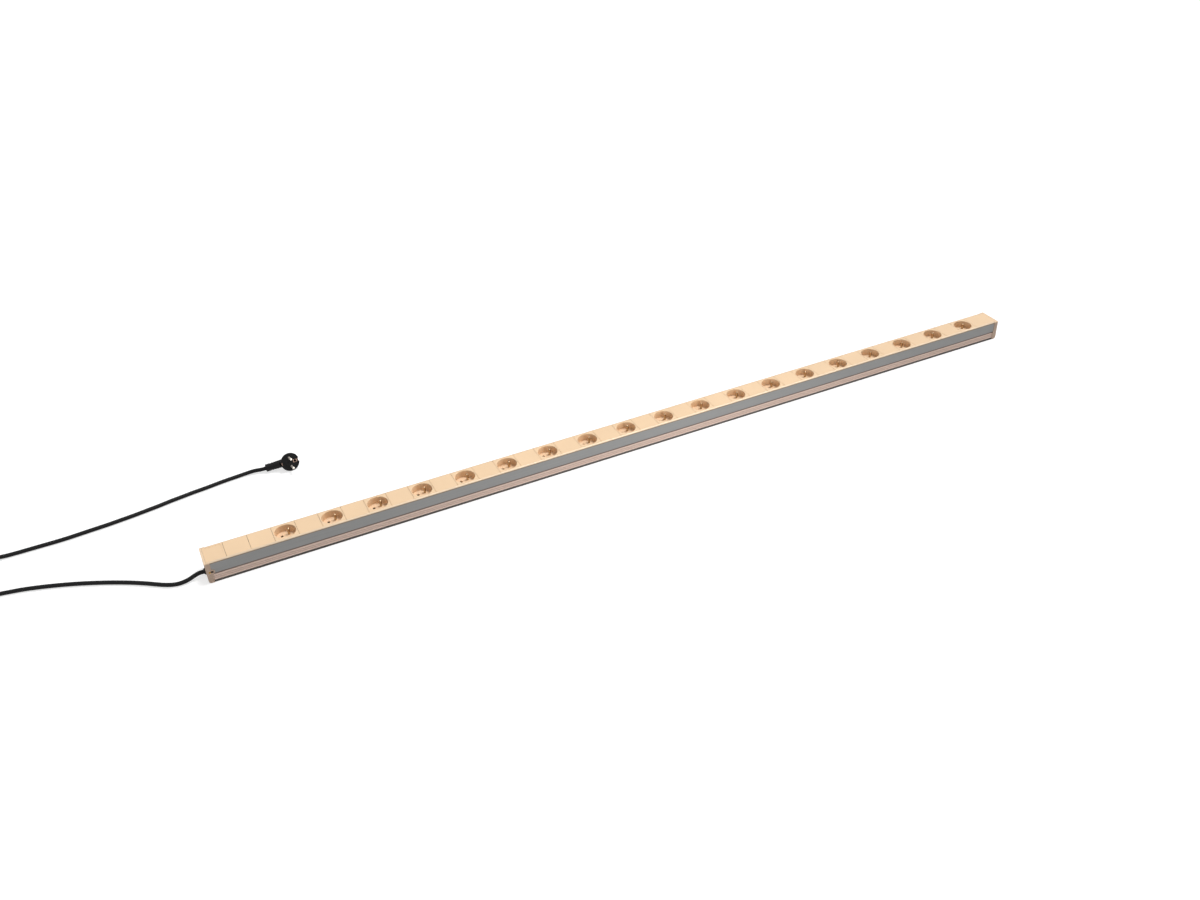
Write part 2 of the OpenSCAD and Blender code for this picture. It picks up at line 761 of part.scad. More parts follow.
module shutter_springs() {
    color("lightgray")
        for (k = [0 : socket_count - 1])
            translate([socket_x(k), 0, shutter_z + shutter_t / 2])
                rotate([0, 0, socket_turn])
                    translate([tongue_x - slide_gap - spring_l, 0, 0])
                        rotate([0, 90, 0])
                            difference() {
                                cylinder(d = spring_d, h = spring_l);
                                translate([0, 0, -over])
                                    cylinder(d = spring_d - 2 * spring_wire, h = spring_l + 2 * over);
                            }
}

module insulating_liner() {
    w = 2 * (rib_half - slide_gap);
    x = bar_x - liner_past;
    color("whitesmoke")
        translate([x, -w / 2, shoulder_z])
            cube([bar_end + liner_past - x, w, liner_t]);
}

// Brass bar with a pair of contact leaves folded up beside each pin hole
module contact_bar(side) {
    color("darkkhaki")
        union() {
            translate([bar_x, side * line_xy.y - bar_w / 2, liner_top])
                cube([bar_end - bar_x, bar_w, bar_t]);
            for (k = [0 : socket_count - 1], edge = [-1, 1])
                translate([socket_x(k) + side * line_xy.x,
                    side * line_xy.y + edge * (leaf_gap + leaf_t) / 2, (liner_top + leaf_top) / 2])
                    cube([leaf_l, leaf_t, leaf_top - liner_top], center = true);
        }
}

module earth_bar() {
    color("darkkhaki")
        translate([0, 0, earth_bar_z])
            difference() {
                union() {
                    translate([bar_x, earth_bar_y - earth_bar_w / 2, 0])
                        cube([bar_end - bar_x, earth_bar_w, bar_t]);
                    for (k = [0 : socket_count - 1])
                        translate([socket_x(k) + earth_xy.x - earth_tab / 2, earth_xy.y - earth_tab / 2, 0])
                            cube([earth_tab, earth_bar_y - earth_xy.y + earth_tab / 2, bar_t]);
                }
                for (k = [0 : socket_count - 1])
                    translate([socket_x(k) + earth_xy.x, earth_xy.y, -over])
                        cylinder(d = earth_foot_d + 2 * fit, h = bar_t + 2 * over);
            }
}

// Three insulated leads from the cord's inner end to the bars, each lying on its bar
module inner_leads() {
    start_x = left_x + gland_in;
    apart = 0.6 * wire_d;
    straight = 10;
    lap = 7;
    side_count = 8;
    leads = [["saddlebrown", lead_turn[0], [line_xy.y, bar_top]],
        ["royalblue", lead_turn[1], [-line_xy.y, bar_top]],
        ["yellowgreen", lead_turn[2], [earth_bar_y, earth_bar_z + bar_t]]];
    for (lead = leads) {
        from = [0, exit_z] + apart * [cos(lead[1]), sin(lead[1])];
        to = lead[2] + [0, wire_d / 2 + fit];
        middle = (from + to) / 2;
        color(lead[0])
            tube([[start_x, from.x, from.y], [start_x + straight, from.x, from.y],
                [(start_x + bar_x) / 2, middle.x, middle.y], [bar_x - straight, to.x, to.y],
                [bar_x, to.x, to.y], [bar_x + lap, to.x, to.y]],
                wire_d, side_count);
    }
}

// Moulded bush that the cord leaves through, held in the end wall by its two flanges
module cord_gland() {
    neck = cord_d / 2 + gland_lip;
    flange = gland_flange_d / 2;
    shank = gland_d / 2;
    back = cap_wall + gland_flange_t;
    color("black")
        translate([left_x, 0, exit_z])
            rotate([0, 90, 0])
                rotate_extrude()
                    polygon([[0, -gland_out], [neck, -gland_out], [flange - gland_lip, -fit],
                        [shank, -fit], [shank, cap_wall + fit], [flange, cap_wall + fit],
                        [flange, back], [shank, back + gland_taper], [neck, gland_in], [0, gland_in]]);
}

module cord_lead() {
    color("black")
        translate([left_x, 0, 0])
            tube(lead_path, cord_d, cord_side);
}

module cord_coil() {
    color("black")
        translate([left_x, 0, 0])
            tube(coil_path, cord_d, coil_side);
}

module cord_tail() {
    color("black")
        translate([left_x, 0, 0])
            tube(tail_path, cord_d, cord_side);
}

// Frame of the plug: the middle of its face, +Z along the pins, the neck towards -X
module at_plug() {
    translate([left_x, 0, 0])
        translate(plug_at)
            rotate([plug_lean, 0, plug_yaw])
                children();
}

module plug_body() {
    color("black")
        at_plug()
            difference() {
                union() {
                    rotate_extrude()
                        polygon([[0, 0], [plug_r - plug_edge, 0], [plug_r, -plug_edge], [plug_r, -plug_rim],
                            [plug_back_r + plug_round / 2, plug_round - plug_depth],
                            [plug_back_r - plug_round / 2, -plug_depth], [0, -plug_depth]]);
                    translate([0, 0, -neck_drop])
                        rotate([0, -90 - neck_slant, neck_yaw]) {
                            cylinder(r1 = neck_root_r, r2 = neck_r, h = neck_free);
                            for (s = neck_l * neck_rings)
                                translate([0, 0, s])
                                    cylinder(r = neck_at(s) + ring_rise, h = ring_t);
                            translate([0, 0, neck_free - fit])
                                cylinder(r = collar_r, h = collar_l + fit);
                        }
                }
                for (side = [-1, 1]) {
                    translate([0, side * pin_pitch / 2, -pin_root])
                        cylinder(d = pin_d + 2 * fit, h = pin_root + over);
                    translate([side * (plug_r + over / 2 - clip_recess / 2), 0,
                        over / 2 - clip_l / 2 - clip_gap])
                        cube([clip_recess + over, clip_w + 2 * clip_gap, clip_l + 2 * clip_gap + over],
                            center = true);
                }
                translate([earth_offset, 0, -pin_l])
                    cylinder(d = plug_earth_d, h = pin_l + over);
                translate([earth_offset - earth_plate_l / 2 - fit, -clip_w / 2 - fit, -clip_t])
                    cube([earth_plate_l + 2 * fit, clip_w + 2 * fit, clip_t + over]);
            }
}

module plug_pins() {
    color("gainsboro")
        at_plug()
            for (side = [-1, 1])
                translate([0, side * pin_pitch / 2, 0]) {
                    translate([0, 0, -pin_root])
                        cylinder(d = pin_d, h = pin_root + pin_l - pin_d / 2);
                    translate([0, 0, pin_l - pin_d / 2])
                        sphere(d = pin_d);
                }
}

// Side strips for side contacts, and the plate round the hole for an earth pin
module plug_earth_contacts() {
    color("burlywood")
        at_plug() {
            for (side = [-1, 1])
                translate([side * (plug_r - clip_recess + clip_t / 2 + fit), 0, -clip_l / 2 - clip_gap])
                    cube([clip_t, clip_w, clip_l], center = true);
            translate([earth_offset - earth_plate_l / 2, -clip_w / 2, fit - clip_t])
                difference() {
                    cube([earth_plate_l, clip_w, clip_t]);
                    translate([earth_plate_l / 2, clip_w / 2, -over])
                        cylinder(d = plug_earth_d, h = clip_t + 2 * over);
                }
        }
}

body_profile();
left_end_cap();
right_end_cap();
end_cap_screws();
bonding_screw();
entry_plate();
blank_inserts();
earth_pins();
contact_carriers();
shutter_springs();
insulating_liner();
contact_bar(1);  // line_bar
contact_bar(-1);  // neutral_bar
earth_bar();
inner_leads();
cord_gland();
cord_lead();
cord_coil();
cord_tail();
plug_body();
plug_pins();
plug_earth_contacts();
for (k = [0 : socket_count - 1]) {
    socket_insert(k);
    shutter(k);
}
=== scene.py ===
import json
import math

import bmesh
import bpy
from mathutils import Matrix, Vector

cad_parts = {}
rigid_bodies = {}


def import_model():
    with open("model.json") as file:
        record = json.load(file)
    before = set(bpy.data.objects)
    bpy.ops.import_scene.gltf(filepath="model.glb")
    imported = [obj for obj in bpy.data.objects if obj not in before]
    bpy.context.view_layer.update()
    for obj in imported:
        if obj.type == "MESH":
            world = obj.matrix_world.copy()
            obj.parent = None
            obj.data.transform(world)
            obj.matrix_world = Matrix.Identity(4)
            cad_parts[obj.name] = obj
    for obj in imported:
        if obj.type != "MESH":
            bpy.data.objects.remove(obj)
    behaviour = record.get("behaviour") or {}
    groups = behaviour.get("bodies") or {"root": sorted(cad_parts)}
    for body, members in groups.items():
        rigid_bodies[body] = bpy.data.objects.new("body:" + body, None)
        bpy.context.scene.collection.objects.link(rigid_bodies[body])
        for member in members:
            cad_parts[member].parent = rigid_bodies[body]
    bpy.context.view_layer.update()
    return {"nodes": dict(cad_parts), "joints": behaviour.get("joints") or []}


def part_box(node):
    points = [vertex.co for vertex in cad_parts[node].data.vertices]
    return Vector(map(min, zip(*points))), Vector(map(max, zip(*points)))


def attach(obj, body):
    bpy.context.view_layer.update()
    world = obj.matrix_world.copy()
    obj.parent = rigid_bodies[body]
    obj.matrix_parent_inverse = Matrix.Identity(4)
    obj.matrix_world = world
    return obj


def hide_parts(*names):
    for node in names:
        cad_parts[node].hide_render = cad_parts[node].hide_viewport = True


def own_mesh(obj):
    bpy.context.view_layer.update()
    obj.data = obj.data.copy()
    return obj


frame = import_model()
nodes = frame["nodes"]
scene = bpy.context.scene
print("frame loaded:", len(nodes), "solids")

# the strip's cord end; the cord and plug are measured from there
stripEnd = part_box("left_end_cap")[0].x

# camera, at the place the photograph was taken from
shot = {
    "place": (-0.93656, -1.74820, 1.35301),
    "azimuth": -25.16,
    "elevation": 34.835,
    "roll": -2.142,
    "lens": 34.109,
    "sensor": 36.0,
    "sight": 60.0,  # how far it sees
}


def setCamera(s):
    az, el, roll = (math.radians(s[k]) for k in ("azimuth", "elevation", "roll"))
    back = Vector((math.sin(az) * math.cos(el), -math.cos(az) * math.cos(el), math.sin(el)))
    level = Vector((0, 0, 1)).cross(back).normalized()
    upright = back.cross(level)
    right = math.cos(roll) * level + math.sin(roll) * upright
    up = math.cos(roll) * upright - math.sin(roll) * level
    data = bpy.data.cameras.new("stripCamera")
    data.lens = s["lens"]
    data.sensor_width = s["sensor"]
    data.clip_end = s["sight"]
    cam = bpy.data.objects.new("stripCamera", data)
    scene.collection.objects.link(cam)
    turned = Matrix((right, up, back)).transposed().to_4x4()
    cam.matrix_world = Matrix.Translation(s["place"]) @ turned
    scene.camera = cam


setCamera(shot)
print("camera set")

# mains cord: out of the end cap, along the floor to the tied coil, and back to the plug
mainsCord = {  # metres from the strip's end
    "radius": 0.004,
    "length": 2.03,
    "rest": 0.0042,  # height of its middle where it lies on the floor
    "roundSteps": 7,  # in each quarter of its section
    "lengthSteps": 5,  # between two points
    "out": [(-0.003, 0.0, 0.0105), (-0.011, 0.0, 0.0105), (-0.021, -0.0014, 0.0086),
            (-0.031, -0.0034, 0.0062), (-0.043, -0.0046, 0.0046)],
    "lead": [(-0.056, -0.003), (-0.070, 0.003), (-0.084, 0.012), (-0.098, 0.022),
             (-0.116, 0.034), (-0.136, 0.046), (-0.158, 0.058), (-0.182, 0.070),
             (-0.206, 0.081), (-0.230, 0.091), (-0.254, 0.100), (-0.278, 0.108),
             (-0.302, 0.115), (-0.326, 0.120), (-0.350, 0.124), (-0.376, 0.126),
             (-0.396, 0.126)],
    "coilAt": (-0.412, 0.180),
    "coilRadius": 0.054,
    "coilPitch": 0.0096,
    "coilTurns": 1.5,  # in each layer
    "climb": 0.5,  # part of a turn in which it rises to the upper layer
    "perTurn": 24,
    "off": [(-0.396, 0.234, 0.0138), (-0.390, 0.234, 0.0134), (-0.372, 0.234, 0.011),
            (-0.352, 0.234, 0.0076), (-0.332, 0.234, 0.005)],
    "tail": [(-0.310, 0.234), (-0.286, 0.234), (-0.262, 0.234), (-0.238, 0.234),
             (-0.214, 0.235), (-0.190, 0.237), (-0.166, 0.239), (-0.142, 0.241),
             (-0.118, 0.244), (-0.094, 0.247), (-0.070, 0.251), (-0.046, 0.255),
             (-0.022, 0.260), (0.002, 0.264), (0.026, 0.268), (0.050, 0.271),
             (0.074, 0.275), (0.096, 0.278), (0.116, 0.280)],
    "up": [(0.132, 0.281, 0.0048), (0.148, 0.280, 0.0062)],
}
mainsPlug = {
    "at": (0.220, 0.256, 0.019),
    "lean": 72,
    "yaw": 5,
    "neckDrop": 0.010,
    "neckSlant": 18,
    "neckYaw": 4,
    "neck": 0.048,
}


def coilPoints(c):
    layer, climb = c["coilTurns"], c["climb"]
    inner = c["coilRadius"] - layer * c["coilPitch"]
    found = []
    for i in range(int((2 * layer + climb) * c["perTurn"]) + 1):
        s = i / c["perTurn"]
        risen = min(max((s - layer) / climb, 0), 1)
        if s < layer:
            reach = c["coilRadius"] - c["coilPitch"] * s
        else:
            reach = inner + c["coilPitch"] * max(s - layer - climb, 0)
        turn = 2 * math.pi * s
        found.append((c["coilAt"][0] - reach * math.sin(turn),
                      c["coilAt"][1] - reach * math.cos(turn),
                      c["rest"] + c["coilPitch"] * risen))
    return found


def onFloor(run, rest):
    return [(x, y, rest) for x, y in run]


def plugMatrix(p):
    yaw = Matrix.Rotation(math.radians(p["yaw"]), 4, "Z")
    lean = Matrix.Rotation(math.radians(p["lean"]), 4, "X")
    return Matrix.Translation(Vector(p["at"]) + Vector((stripEnd, 0, 0))) @ (yaw @ lean)


# a point on the plug's neck, s from the middle of the plug
def neckPoint(p, s):
    slant, yaw = math.radians(p["neckSlant"]), math.radians(p["neckYaw"])
    way = Vector((-math.cos(slant) * math.cos(yaw), -math.cos(slant) * math.sin(yaw),
                  -math.sin(slant)))
    return plugMatrix(p) @ (Vector((0, 0, -p["neckDrop"])) + s * way)


def layCord(c, p):
    line = c["out"] + onFloor(c["lead"], c["rest"]) + coilPoints(c)
    line += c["off"] + onFloor(c["tail"], c["rest"]) + c["up"]
    line = [Vector(q) + Vector((stripEnd, 0, 0)) for q in line]
    line += [neckPoint(p, p["neck"] + 2 * c["radius"]), neckPoint(p, p["neck"])]
    data = bpy.data.curves.new("mainsCord", "CURVE")
    data.dimensions = "3D"
    data.bevel_depth = 1.0  # each point's own radius gives the thickness
    data.bevel_resolution = c["roundSteps"]
    data.resolution_u = c["lengthSteps"]
    data.use_fill_caps = True
    spline = data.splines.new("BEZIER")
    spline.bezier_points.add(len(line) - 1)
    for point, q in zip(spline.bezier_points, line):
        point.co = q
        point.radius = c["radius"]
        point.handle_left_type = point.handle_right_type = "AUTO"
    made = bpy.data.objects.new("mainsCord", data)
    scene.collection.objects.link(made)
    return made


cord = layCord(mainsCord, mainsPlug)
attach(cord, "strip")
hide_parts("cord_lead", "cord_coil", "cord_tail")

# strap that holds the coil together
coilTie = {
    "turn": 0.75,  # its place round the coil
    "inner": 0.0338,
    "outer": 0.0602,
    "top": 0.0194,
    "under": 0.00004,
    "width": 0.011,
    "thick": 0.0009,
    "thin": 0.00012,  # under the coil, where it faces down by more than thinBelow
    "thinBelow": -0.7,
    "round": 0.0046,
    "steps": 7,
}


# the strap's outline: the middles of its rounded corners, and the ways out from them
def tieLoop(t):
    corners = [(t["outer"], t["top"], 0), (t["inner"], t["top"], 90),
               (t["inner"], t["under"], 180), (t["outer"], t["under"], 270)]
    loop = []
    for r, z, a in corners:
        inR = -1 if r == t["outer"] else 1
        inZ = -1 if z == t["top"] else 1
        middle = Vector((r + inR * t["round"], z + inZ * t["round"]))
        for k in range(t["steps"] + 1):
            b = math.radians(a + 90 * k / t["steps"])
            loop.append((middle, Vector((math.cos(b), math.sin(b)))))
    return loop


def makeTie(t, c):
    loop = tieLoop(t)
    mesh = bmesh.new()
    sides = []
    for y in (-t["width"] / 2, t["width"] / 2):
        for layer in (0, 1):
            ring = []
            for middle, out in loop:
                thick = t["thin"] if out.y < t["thinBelow"] else t["thick"]
                q = middle + out * t["round"] - out * thick * layer
                ring.append(mesh.verts.new((q.x, y, q.y)))
            sides.append(ring)
    outA, inA, outB, inB = sides
    n = len(loop)
    for i in range(n):
        j = (i + 1) % n
        mesh.faces.new((outA[i], outA[j], outB[j], outB[i]))
        mesh.faces.new((inA[j], inA[i], inB[i], inB[j]))
        mesh.faces.new((outA[j], outA[i], inA[i], inA[j]))
        mesh.faces.new((outB[i], outB[j], inB[j], inB[i]))
    bmesh.ops.recalc_face_normals(mesh, faces=mesh.faces)
    data = bpy.data.meshes.new("coilTie")
    mesh.to_mesh(data)
    mesh.free()
    made = bpy.data.objects.new("coilTie", data)
    scene.collection.objects.link(made)
    turn = 2 * math.pi * t["turn"]
    made.matrix_world = (Matrix.Translation((stripEnd + c["coilAt"][0], c["coilAt"][1], 0))
                         @ Matrix.Rotation(-math.pi / 2 - turn, 4, "Z"))
    return made


tie = makeTie(coilTie, mainsCord)
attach(tie, "strip")
print("cord laid, coil tied")

# materials: colour, gloss and bump come from noise in the part's own metres
noiseReach = (0.3, 0.7)  # the part of a noise's range that is used
toneSpan = 0.05  # height in metres that the tones by height are spread over


def startFinish(name, look):
    finish = bpy.data.materials.new(name)
    finish.use_nodes = True
    tree = finish.node_tree
    shader = tree.nodes["Principled BSDF"]
    for socket, value in look.items():
        shader.inputs[socket].default_value = value
    return finish, tree, shader


def place(tree, stretch=(1, 1, 1)):
    coords = tree.nodes.new("ShaderNodeTexCoord")
    mapping = tree.nodes.new("ShaderNodeMapping")
    mapping.inputs["Scale"].default_value = stretch
    tree.links.new(coords.outputs["Object"], mapping.inputs["Vector"])
    return mapping.outputs["Vector"]


def noise(tree, vector, scale, detail, rough=0.55):
    made = tree.nodes.new("ShaderNodeTexNoise")
    made.inputs["Scale"].default_value = scale
    made.inputs["Detail"].default_value = detail
    made.inputs["Roughness"].default_value = rough
    tree.links.new(vector, made.inputs["Vector"])
    return made.outputs["Fac"]


def ramp(tree, source, stops):
    made = tree.nodes.new("ShaderNodeValToRGB")
    bar = made.color_ramp.elements
    while len(bar) < len(stops):
        bar.new(0.5)
    for element, (at, colour) in zip(bar, stops):
        element.position = at
        element.color = (*colour, 1)
    tree.links.new(source, made.inputs["Fac"])
    return made.outputs["Color"]


def spread(tree, source, low, high):
    made = tree.nodes.new("ShaderNodeMapRange")
    made.inputs["From Min"].default_value, made.inputs["From Max"].default_value = noiseReach
    made.inputs["To Min"].default_value = low
    made.inputs["To Max"].default_value = high
    tree.links.new(source, made.inputs["Value"])
    return made.outputs["Result"]


def bump(tree, shader, source, depth, strength):
    made = tree.nodes.new("ShaderNodeBump")
    made.inputs["Strength"].default_value = strength
    made.inputs["Distance"].default_value = depth
    tree.links.new(source, made.inputs["Height"])
    tree.links.new(made.outputs["Normal"], shader.inputs["Normal"])


# a screen colour, 0 to 255, in the linear values that the shader takes
def linear(rgb):
    parts = [v / 255 for v in rgb]
    return tuple(c / 12.92 if c <= 0.04045 else ((c + 0.055) / 1.055) ** 2.4 for c in parts)


def shade(colour, factor):
    return tuple(c * factor for c in colour)


# a colour that the noise makes a little darker here and lighter there
def varied(tree, source, colour, vary):
    low, high = noiseReach
    return ramp(tree, source, [(low, shade(colour, 1 - vary)), (high, shade(colour, 1 + vary))])


def multiply(tree, a, b):
    made = tree.nodes.new("ShaderNodeMix")
    made.data_type = "RGBA"
    made.blend_type = "MULTIPLY"
    made.inputs["Factor"].default_value = 1.0
    tree.links.new(a, made.inputs["A"])
    tree.links.new(b, made.inputs["B"])
    return made.outputs["Result"]


# height above the floor, 0 to 1 over the tone span
def heightShare(tree):
    coords = tree.nodes.new("ShaderNodeTexCoord")
    split = tree.nodes.new("ShaderNodeSeparateXYZ")
    tree.links.new(coords.outputs["Object"], split.inputs["Vector"])
    share = tree.nodes.new("ShaderNodeMapRange")
    share.inputs["From Max"].default_value = toneSpan
    tree.links.new(split.outputs["Z"], share.inputs["Value"])
    return share.outputs["Result"]


# a moulded plastic or rubber: faint cloudy colour, fine grain, uneven gloss
mouldedGrain = {"cloudDetail": 4.0, "detail": 2.0, "rough": 0.6, "bump": 0.6}


def mouldedFinish(name, m):
    g = mouldedGrain
    finish, tree, shader = startFinish(name, {"Specular IOR Level": m["gloss"]})
    here = place(tree)
    colour = linear(m["colour"])
    cloud = noise(tree, here, m["cloud"], g["cloudDetail"])
    tint = varied(tree, cloud, colour, m["vary"])
    if "paintedShadeDepths" in m:  # below its top face the moulding takes painted shade, by height
        stops = []
        for at, tone in m["paintedShadeDepths"]:
            share = tuple(d / c for d, c in zip(linear(tone), colour))
            stops.append((at / toneSpan, share))
        tint = multiply(tree, tint, ramp(tree, heightShare(tree), stops))
    tree.links.new(tint, shader.inputs["Base Color"])
    grain = noise(tree, here, m["grain"], g["detail"], g["rough"])
    tree.links.new(spread(tree, grain, *m["rough"]), shader.inputs["Roughness"])
    bump(tree, shader, grain, m["depth"], g["bump"])
    return finish


# metal drawn or rolled along one axis: long streaks in colour, gloss and bump
drawnStreak = {"detail": 4.0, "rough": 0.65, "bump": 0.5}


def drawnMetal(name, m):
    d = drawnStreak
    finish, tree, shader = startFinish(name, {"Metallic": m["metallic"]})
    along = place(tree, m["stretch"])
    streak = noise(tree, along, m["streak"], d["detail"], d["rough"])
    tint = varied(tree, streak, linear(m["colour"]), m["vary"])
    tree.links.new(tint, shader.inputs["Base Color"])
    tree.links.new(spread(tree, streak, *m["rough"]), shader.inputs["Roughness"])
    bump(tree, shader, streak, m["depth"], d["bump"])
    return finish


def dress(finish, *names):
    for n in names:
        data = nodes[n].data
        data.materials.clear()
        data.materials.append(finish)


# mouldings: colours as on screen; depths are heights in metres with the colour from there, and
# below the top face that colour is painted shade
insertCream = {
    "colour": (238, 206, 168), "gloss": 0.4, "cloud": 9.0, "vary": 0.03,
    # darker well walls in the sockets: painted shade
    "paintedShadeDepths": [(0.0312, (237, 207, 173)), (0.0322, (231, 199, 163)),
               (0.0443, (231, 199, 163)), (0.0448, (238, 206, 168))],
    "grain": 1400.0, "rough": (0.36, 0.48), "depth": 0.00003,
}
capWarmGrey = {
    "colour": (236, 207, 174), "gloss": 0.35, "cloud": 40.0, "vary": 0.05,
    # darker sides of the end caps below their top: painted shade
    "paintedShadeDepths": [(0.0424, (204, 178, 158)), (0.0438, (236, 207, 174))],
    "grain": 1600.0, "rough": (0.45, 0.6), "depth": 0.00004,
}
# shutters and contact carriers: dark grey, made darker as painted shade in the pin holes
innerGreyHoleShade = {
    "colour": (46, 42, 38), "gloss": 0.3, "cloud": 60.0, "vary": 0.06,
    "grain": 1200.0, "rough": (0.5, 0.65), "depth": 0.00003,
}
linerSheet = {
    "colour": (224, 221, 212), "gloss": 0.3, "cloud": 30.0, "vary": 0.03,
    "grain": 900.0, "rough": (0.5, 0.6), "depth": 0.00002,
}
cordBlack = {
    "colour": (12, 12, 13), "gloss": 0.18, "cloud": 70.0, "vary": 0.12,
    "grain": 1100.0, "rough": (0.42, 0.56), "depth": 0.00004,
}
plugBlack = {
    "colour": (13, 13, 14), "gloss": 0.2, "cloud": 90.0, "vary": 0.1,
    "grain": 1900.0, "rough": (0.42, 0.58), "depth": 0.00005,
}
tieBlack = {
    "colour": (30, 30, 32), "gloss": 0.3, "cloud": 200.0, "vary": 0.2,
    "grain": 2600.0, "rough": (0.7, 0.85), "depth": 0.0002,
}

# metals
# warm tint on the nickel earth pins: painted reflection of the cream wells
pinNickelWarmReflection = {
    "colour": (184, 158, 126), "metallic": 1.0, "stretch": (1, 1, 0.1), "streak": 900.0,
    "vary": 0.06, "rough": (0.2, 0.34), "depth": 0.00001,
}
# near-white plug pins: a painted highlight on the metal
plugPinHighlight = {
    "colour": (246, 238, 226), "metallic": 0.55, "stretch": (1, 1, 1), "streak": 900.0,
    "vary": 0.03, "rough": (0.24, 0.36), "depth": 0.00001,
}
screwZinc = {
    "colour": (190, 192, 194), "metallic": 1.0, "stretch": (1, 1, 1), "streak": 700.0,
    "vary": 0.08, "rough": (0.28, 0.42), "depth": 0.00001,
}
screwBrass = {
    "colour": (168, 132, 66), "metallic": 1.0, "stretch": (1, 1, 1), "streak": 700.0,
    "vary": 0.1, "rough": (0.26, 0.4), "depth": 0.00001,
}
contactCopper = {
    "colour": (188, 158, 142), "metallic": 0.7, "stretch": (1, 1, 1), "streak": 700.0,
    "vary": 0.1, "rough": (0.42, 0.56), "depth": 0.00001,
}
barBrass = {
    "colour": (206, 172, 112), "metallic": 1.0, "stretch": (0.03, 1, 1), "streak": 800.0,
    "vary": 0.1, "rough": (0.28, 0.42), "depth": 0.00001,
}
springWire = {
    "colour": (188, 189, 192), "metallic": 1.0, "stretch": (1, 1, 1), "streak": 900.0,
    "vary": 0.08, "rough": (0.25, 0.35), "depth": 0.00001,
}

# anodised profile: die lines along its length, and a tone for each part of its section, by height,
# with painted light in the tones: painted highlights on the rib crests and the top rim, painted
# shade on the foot's lip, in the rib valleys, under the upper band and in the line under the rim,
# and a lighter groove as painted bounce light
profileSatin = {
    "tones": {
        # crest and rim tones are painted highlights; lip, valley, shade and line tones are painted
        # shade; the groove tone is painted bounce light
        "lip": (108, 104, 100), "groove": (176, 168, 163), "crest": (232, 206, 191),
        "valley": (180, 157, 145), "shade": (108, 92, 85), "wall": (149, 149, 148),
        "line": (136, 122, 108), "rim": (222, 198, 169),
    },
    "zones": [
        (0.0010, "lip"), (0.0012, "groove"), (0.0050, "groove"), (0.0052, "crest"),
        (0.0072, "crest"), (0.0088, "valley"), (0.0110, "crest"), (0.0128, "valley"),
        (0.0150, "crest"), (0.0164, "crest"), (0.0173, "shade"), (0.0202, "shade"),
        (0.0205, "wall"), (0.0412, "wall"), (0.0418, "line"), (0.0432, "line"),
        (0.0436, "rim"),
    ],
    "metallic": 0.2, "stretch": (0.012, 1, 1), "streak": 420.0, "detail": 5.0,
    "streakRough": 0.65, "vary": 0.05, "rough": (0.36, 0.5), "depth": 0.00002, "bump": 0.5,
}


def profileFinish(p):
    finish, tree, shader = startFinish("profileSatin", {"Metallic": p["metallic"]})
    along = place(tree, p["stretch"])
    streak = noise(tree, along, p["streak"], p["detail"], p["streakRough"])
    stops = [(at / toneSpan, linear(p["tones"][tone])) for at, tone in p["zones"]]
    zone = ramp(tree, heightShare(tree), stops)
    lines = varied(tree, streak, (1, 1, 1), p["vary"])
    tree.links.new(multiply(tree, zone, lines), shader.inputs["Base Color"])
    tree.links.new(spread(tree, streak, *p["rough"]), shader.inputs["Roughness"])
    bump(tree, shader, streak, p["depth"], p["bump"])
    return finish


# insulation of the three leads: brown on one side, blue on the other, green and yellow above
leadInsulation = {
    "brown": (112, 66, 38), "blue": (52, 92, 160), "earth": (150, 176, 60),
    "earthAbove": 0.0122, "gloss": 0.4, "grain": 1500.0, "detail": 2.0,
    "rough": (0.4, 0.55), "depth": 0.00002, "bump": 0.5,
}


def leadFinish(c):
    finish, tree, shader = startFinish("leadInsulation", {"Specular IOR Level": c["gloss"]})
    here = place(tree)
    split = tree.nodes.new("ShaderNodeSeparateXYZ")
    tree.links.new(here, split.inputs["Vector"])

    def over(value, limit):
        made = tree.nodes.new("ShaderNodeMath")
        made.operation = "GREATER_THAN"
        made.inputs[1].default_value = limit
        tree.links.new(value, made.inputs[0])
        return made.outputs["Value"]

    behind = over(split.outputs["Y"], 0.0)
    sideTint = ramp(tree, behind, [(0.0, linear(c["blue"])), (1.0, linear(c["brown"]))])
    mix = tree.nodes.new("ShaderNodeMix")
    mix.data_type = "RGBA"
    tree.links.new(over(split.outputs["Z"], c["earthAbove"]), mix.inputs["Factor"])
    tree.links.new(sideTint, mix.inputs["A"])
    mix.inputs["B"].default_value = (*linear(c["earth"]), 1)
    tree.links.new(mix.outputs["Result"], shader.inputs["Base Color"])
    grain = noise(tree, here, c["grain"], c["detail"])
    tree.links.new(spread(tree, grain, *c["rough"]), shader.inputs["Roughness"])
    bump(tree, shader, grain, c["depth"], c["bump"])
    return finish


sockets = sorted(n for n in nodes if n.startswith("socket_"))
shutters = sorted(n for n in nodes if n.startswith("shutter_") and n != "shutter_springs")
dress(profileFinish(profileSatin), "body_profile")
dress(mouldedFinish("insertCream", insertCream), "entry_plate", "blank_inserts", *sockets)
dress(mouldedFinish("capWarmGrey", capWarmGrey), "left_end_cap", "right_end_cap")
dress(mouldedFinish("innerGreyHoleShade", innerGreyHoleShade), "contact_carriers", *shutters)
dress(mouldedFinish("linerSheet", linerSheet), "insulating_liner")
dress(mouldedFinish("plugBlack", plugBlack), "plug_body", "cord_gland")
dress(drawnMetal("pinNickelWarmReflection", pinNickelWarmReflection), "earth_pins")
dress(drawnMetal("plugPinHighlight", plugPinHighlight), "plug_pins")
dress(drawnMetal("screwZinc", screwZinc), "end_cap_screws")
dress(drawnMetal("screwBrass", screwBrass), "bonding_screw")
dress(drawnMetal("contactCopper", contactCopper), "plug_earth_contacts")
dress(drawnMetal("barBrass", barBrass), "line_bar", "neutral_bar", "earth_bar")
dress(leadFinish(leadInsulation), "inner_leads")
